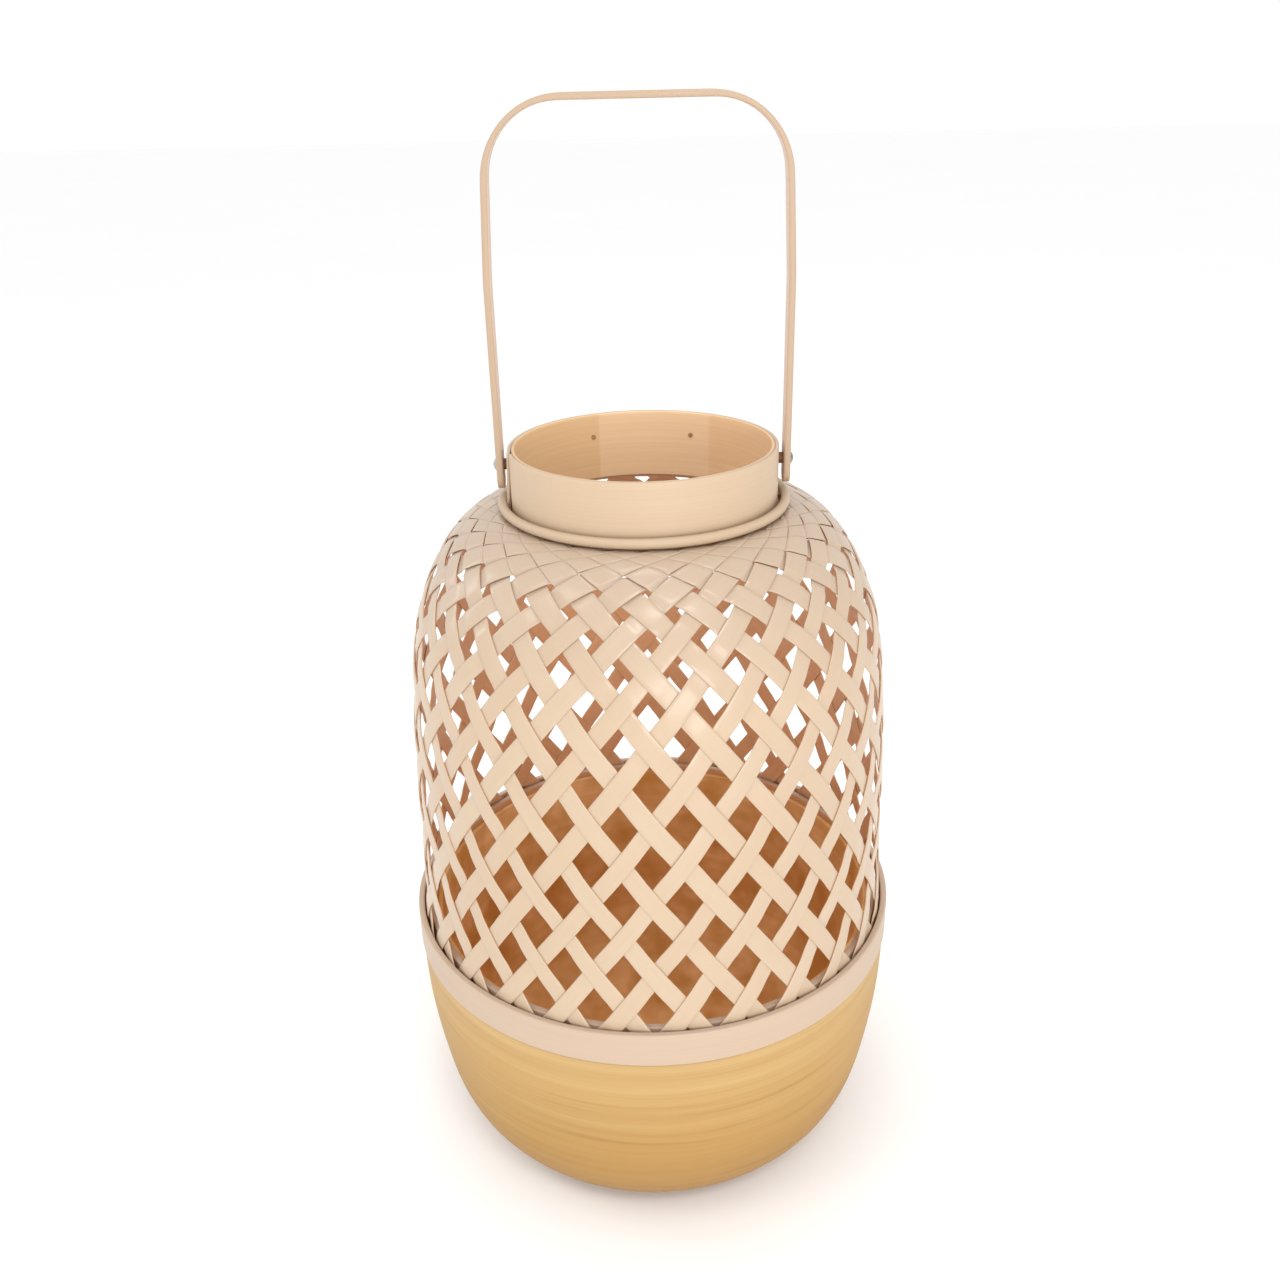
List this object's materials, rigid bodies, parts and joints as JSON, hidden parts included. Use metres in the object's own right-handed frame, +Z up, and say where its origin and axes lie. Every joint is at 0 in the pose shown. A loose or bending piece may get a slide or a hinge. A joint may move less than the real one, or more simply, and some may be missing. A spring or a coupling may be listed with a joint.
{
  "type": "woven bamboo lantern",
  "caption": "Round woven bamboo candle lantern with a solid bowl base, an open neck collar and a flat bail handle that swings on two side pins.",
  "frame": {"origin": "centre of the flat base where the lantern stands", "axes": "+Z up along the lantern's axis, +X along the handle's pivot axis towards the right pin, -Y is the front"},
  "size_m": [0.2318, 0.2318, 0.484],
  "materials": {
    "strip_bamboo": "satin clear lacquer",
    "bowl_bamboo": "satin lacquer over coiled bamboo",
    "hoop_bamboo": "satin lacquer",
    "collar_bamboo": "satin lacquer",
    "cane": "satin",
    "handle_bamboo": "satin",
    "rivet_metal": "dull",
    "spacer_wood": "dark stained",
    "tack_metal": "oxidised"
  },
  "bodies": {
    "lantern": {"bowl_disc": "bowl_bamboo", "bowl_foot": "bowl_bamboo", "bowl_belly": "bowl_bamboo", "bowl_wall": "bowl_bamboo", "inner_hoop": "hoop_bamboo", "outer_hoop": "hoop_bamboo", "neck_hoop": "hoop_bamboo", "neck_ring": "cane", "inner_collar": "collar_bamboo", "outer_collar": "collar_bamboo", "left_pin": "rivet_metal", "right_pin": "rivet_metal", "left_spacer": "spacer_wood", "right_spacer": "spacer_wood", "left_tack": "tack_metal", "right_tack": "tack_metal", "right_strips_1": "strip_bamboo", "right_strips_2": "strip_bamboo", "right_strips_3": "strip_bamboo", "right_strips_4": "strip_bamboo", "right_strips_5": "strip_bamboo", "right_strips_6": "strip_bamboo", "right_strips_7": "strip_bamboo", "right_strips_8": "strip_bamboo", "right_strips_9": "strip_bamboo", "left_strips_1": "strip_bamboo", "left_strips_2": "strip_bamboo", "left_strips_3": "strip_bamboo", "left_strips_4": "strip_bamboo", "left_strips_5": "strip_bamboo", "left_strips_6": "strip_bamboo", "left_strips_7": "strip_bamboo", "left_strips_8": "strip_bamboo", "left_strips_9": "strip_bamboo"},
    "bail": {"handle": "handle_bamboo"}
  },
  "joints": [
    {"name": "handle_swing", "type": "hinge", "parent": "lantern", "child": "bail", "pos_m": [0, 0, 0.3388], "axis": [1, 0, 0], "range_deg": [-105, 105]}
  ]
}
